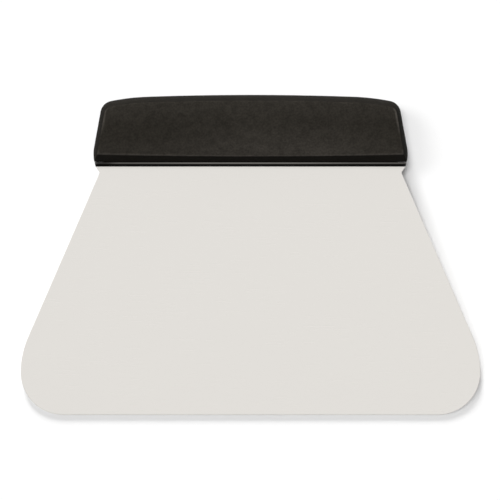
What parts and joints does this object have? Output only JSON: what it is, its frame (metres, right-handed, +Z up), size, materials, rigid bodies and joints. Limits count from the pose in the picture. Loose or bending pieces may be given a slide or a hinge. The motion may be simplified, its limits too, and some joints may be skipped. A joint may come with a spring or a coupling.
{
  "type": "dough scraper",
  "caption": "Flat flared stainless blade with large round toes, held in a wide crowned black plastic handle with a smooth lip at its mouth.",
  "frame": {"origin": "on the table, under the middle of the scraper's bounding box as it lies front face up", "axes": "+X along the blade's long bottom edge, +Y from the blade towards the handle, +Z up from the table; the tool leans 4.62 degrees about X, because it rests on the blade's bottom edge and on the handle's back"},
  "size_m": [0.16, 0.1109, 0.0171],
  "materials": {
    "stainless_sheet": "fine satin, pale",
    "smooth_black_plastic": "smooth moulded, semi-gloss",
    "grained_black_plastic": "fine moulded grain, matte"
  },
  "bodies": {
    "root": {"blade": "stainless_sheet", "handle_core": "smooth_black_plastic", "handle_grip": "grained_black_plastic"}
  },
  "joints": []
}
